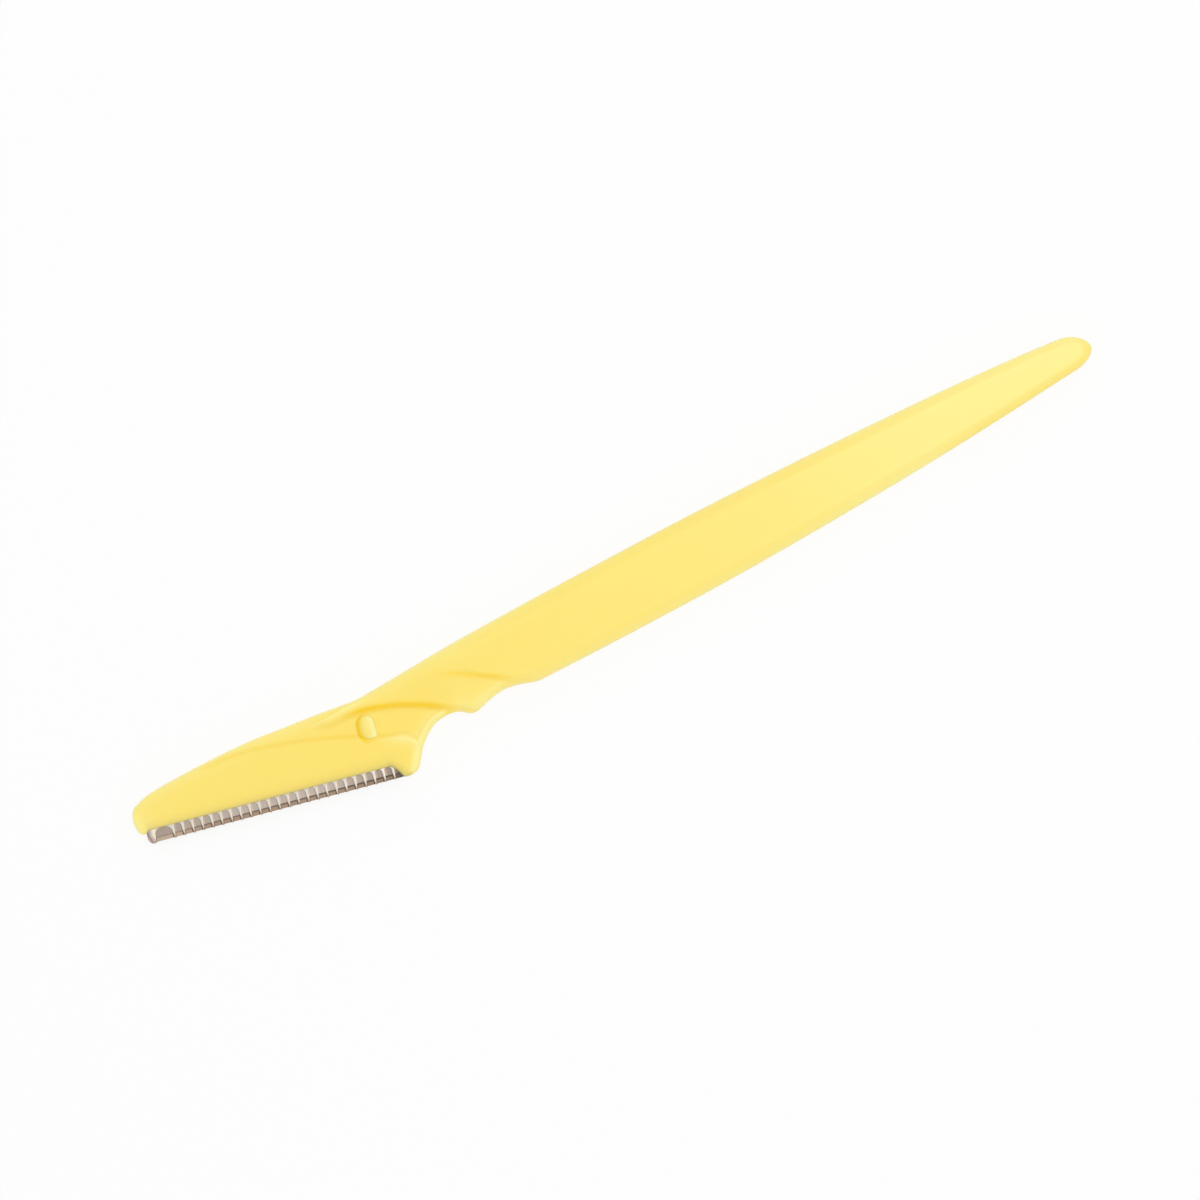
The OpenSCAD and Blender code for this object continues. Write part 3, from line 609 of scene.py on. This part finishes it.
# Phase is 0.5 at each bar's middle here
turns = add_node(tree, "ShaderNodeMapRange", {"clamp": False}, Value=u,
                 From_Min=second_bar_u - bar_pitch / 2, From_Max=second_bar_u + bar_pitch / 2)
phase = add_node(tree, "ShaderNodeMath", {"operation": "FRACT"}, _0=turns.outputs[0]).outputs[0]
# Painted shade on the sheared edges where they face the heel or the cutting edge
facing = add_node(tree, "ShaderNodeSeparateXYZ", Vector=place.outputs["Normal"])
flatness = add_node(tree, "ShaderNodeMath", {"operation": "ABSOLUTE"}, _0=facing.outputs["Z"]).outputs[0]
shaded_way = on_blade.to_3x3() @ Vector((0.8, -0.6, 0))
turned = add_node(tree, "ShaderNodeVectorMath", {"operation": "DOT_PRODUCT"},
                  _0=place.outputs["Normal"], _1=shaded_way)
turned_down = add_node(tree, "ShaderNodeMapRange", Value=turned.outputs["Value"],
                       From_Min=-0.1, From_Max=0.2, To_Max=0.9).outputs[0]
# The strips of the end fold lean away from the end towards the corner
corner = add_node(tree, "ShaderNodeMapRange", Value=v, From_Min=1.1, From_Max=0.6, To_Max=0.27)
lean = add_node(tree, "ShaderNodeMath", {"operation": "SUBTRACT"}, _0=u, _1=corner.outputs[0]).outputs[0]
for value, start, end, most, where, over in (
        # Painted reflections, cooler on a bar's side towards the tip and tan on the other; and cream at the
        # end tab
        (phase, 0.46, 0.4, 0.4, 1.0, "#d6dade"), (phase, 0.56, 0.64, 0.55, 1.0, "#d8c5a6"),
        (u, 1.25, 1.1, 0.8, 1.0, "#e4d2b6"),
        # Browner down the bevel, and yellower under the lip, a painted shade and reflection of the lip
        (v, 0.9, 0.35, 0.85, 1.0, "#b09880"), (v, 1.85, 2.15, 0.6, 1.0, "#c9b384"),
        (flatness, 0.97, 0.6, 1.0, turned_down, "#6f6254"),
        # A painted highlight on the fold round the edge. At the end fold, from inside out, painted
        # reflections
        # and shade: a strip of lilac grey, a dark line and a peach rim
        (v, 0.16, 0.08, 0.8, 1.0, "#f2ece4"), (lean, 0.92, 0.48, 1.0, 1.0, "#aea5a6"),
        (lean, 0.31, 0.27, 1.0, 1.0, "#6d5f5a"), (lean, 0.2, 0.16, 1.0, 1.0, "#cfae93")):
    share = add_node(tree, "ShaderNodeMapRange", Value=value, From_Min=start, From_Max=end, To_Max=most)
    share = add_node(tree, "ShaderNodeMath", {"operation": "MULTIPLY"}, _0=share.outputs[0], _1=where)
    colour = add_node(tree, "ShaderNodeMix", {"data_type": "RGBA"}, Factor=share.outputs[0],
                      _6=colour.outputs[2], _7=linear(over))
rough = add_node(tree, "ShaderNodeMapRange", Value=mottle.outputs["Fac"], To_Min=0.3, To_Max=0.42)
metal = add_node(tree, "ShaderNodeBsdfPrincipled", Base_Color=colour.outputs[2], Metallic=1.0,
                 Roughness=rough.outputs[0])
add_node(tree, "ShaderNodeOutputMaterial", Surface=metal.outputs[0])
guard_mesh.materials.append(bright)
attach(guard, "root")
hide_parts("blade_guard")

# The floor. A plain sweep of white paper just under the razor, which keeps the soft shadow and looks
# white from above and in what the metal reflects.
floor_mesh = bpy.data.meshes.new("floor")
plane = bmesh.new()
bmesh.ops.create_grid(plane, x_segments=1, y_segments=1, size=3)
bmesh.ops.translate(plane, verts=plane.verts, vec=(0, 0, -0.02 * MM))
plane.to_mesh(floor_mesh)
plane.free()
floor = bpy.data.objects.new("floor", floor_mesh)
bpy.context.collection.objects.link(floor)


def seen_not_lighting(tree):
    """1 for rays that end up in the picture, straight or by mirror or glass, and 0 for others."""
    rays = add_node(tree, "ShaderNodeLightPath")
    seen = add_node(tree, "ShaderNodeMath", {"operation": "ADD"}, _0=rays.outputs["Is Camera Ray"],
                    _1=rays.outputs["Is Glossy Ray"])
    seen = add_node(tree, "ShaderNodeMath", {"operation": "ADD", "use_clamp": True}, _0=seen.outputs[0],
                    _1=rays.outputs["Is Transmission Ray"])
    return seen.outputs[0]


white = new_material("white_paper_sweep")
tree = white.node_tree
share = add_node(tree, "ShaderNodeMapRange", Value=seen_not_lighting(tree), To_Min=0.5, To_Max=0.85)
paper = add_node(tree, "ShaderNodeBsdfDiffuse", Color=linear("#f6f6f6"))
glow = add_node(tree, "ShaderNodeEmission", Color=(1, 1, 1, 1), Strength=1.0)
both = add_node(tree, "ShaderNodeMixShader", _0=share.outputs[0], _1=paper.outputs[0], _2=glow.outputs[0])
add_node(tree, "ShaderNodeOutputMaterial", Surface=both.outputs[0])
floor_mesh.materials.append(white)

# The light. An even white room, and one large soft lamp above the tail end.
world = bpy.data.worlds.new("white_room")
bpy.context.scene.world = world
world.use_nodes = True
tree = world.node_tree
tree.nodes.clear()
strength = add_node(tree, "ShaderNodeMapRange", Value=seen_not_lighting(tree), To_Min=0.85, To_Max=1.0)
room_light = add_node(tree, "ShaderNodeBackground", Color=(1, 1, 1, 1), Strength=strength.outputs[0])
add_node(tree, "ShaderNodeOutputWorld", Surface=room_light.outputs[0])

lamp_data = bpy.data.lights.new("key", "AREA")
lamp_data.shape, lamp_data.size, lamp_data.energy = "SQUARE", 0.28, 0.65
lamp = bpy.data.objects.new("key", lamp_data)
lamp.location = (0.16, 0.035, 0.6)
lamp.rotation_euler = (-lamp.location).to_track_quat("-Z", "Y").to_euler()
bpy.context.collection.objects.link(lamp)

# The camera looks straight down on the flat side, turned so that the razor lies as in the photograph
camera_data = bpy.data.cameras.new("camera")
camera_data.lens, camera_data.sensor_width, camera_data.clip_start = 120, 36, 0.01
camera = bpy.data.objects.new("camera", camera_data)
camera.location = (-2.502 * MM, 1.545 * MM, (half_t + 562.7) * MM)
camera.rotation_euler = (0, 0, math.radians(-28.18))
bpy.context.collection.objects.link(camera)
bpy.context.scene.camera = camera
bpy.context.scene.view_settings.view_transform = "Standard"
